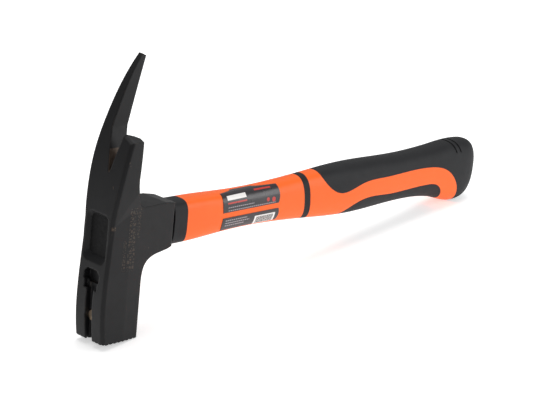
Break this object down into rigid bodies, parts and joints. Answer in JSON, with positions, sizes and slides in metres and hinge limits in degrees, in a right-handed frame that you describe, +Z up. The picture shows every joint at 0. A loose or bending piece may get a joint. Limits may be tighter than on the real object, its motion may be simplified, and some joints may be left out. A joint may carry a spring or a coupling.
{
  "type": "roofing hammer",
  "caption": "Carpenter's roofing hammer: forged black head with milled face, magnetic nail groove, long pike and short claw, on an orange and black moulded fibreglass handle.",
  "frame": {"origin": "middle of the striking face, on the tops of its milled teeth", "axes": "+X along the handle from the head to the butt, +Z up the head from the striking face to the pike, Y across the head with the pike on +Y"},
  "size_m": [0.3275, 0.0301, 0.165],
  "materials": {
    "black_steel": "satin black coating on forged steel",
    "magnet": "nickel plated, dull",
    "resin": "matte black potting resin",
    "fibreglass": "pulled glass-fibre bar",
    "black_rubber": "matte soft moulding",
    "orange_shell": "satin hard moulding",
    "label_film": "printed self-adhesive film"
  },
  "bodies": {
    "root": {"forged_head": "black_steel", "nail_magnet": "magnet", "eye_fill": "resin", "fibreglass_core": "fibreglass", "neck_collar": "black_rubber", "handle_jacket": "orange_shell", "ring_band": "black_rubber", "upper_grip": "black_rubber", "finger_grip": "black_rubber", "label_upper": "label_film", "label_lower": "label_film"}
  },
  "joints": []
}
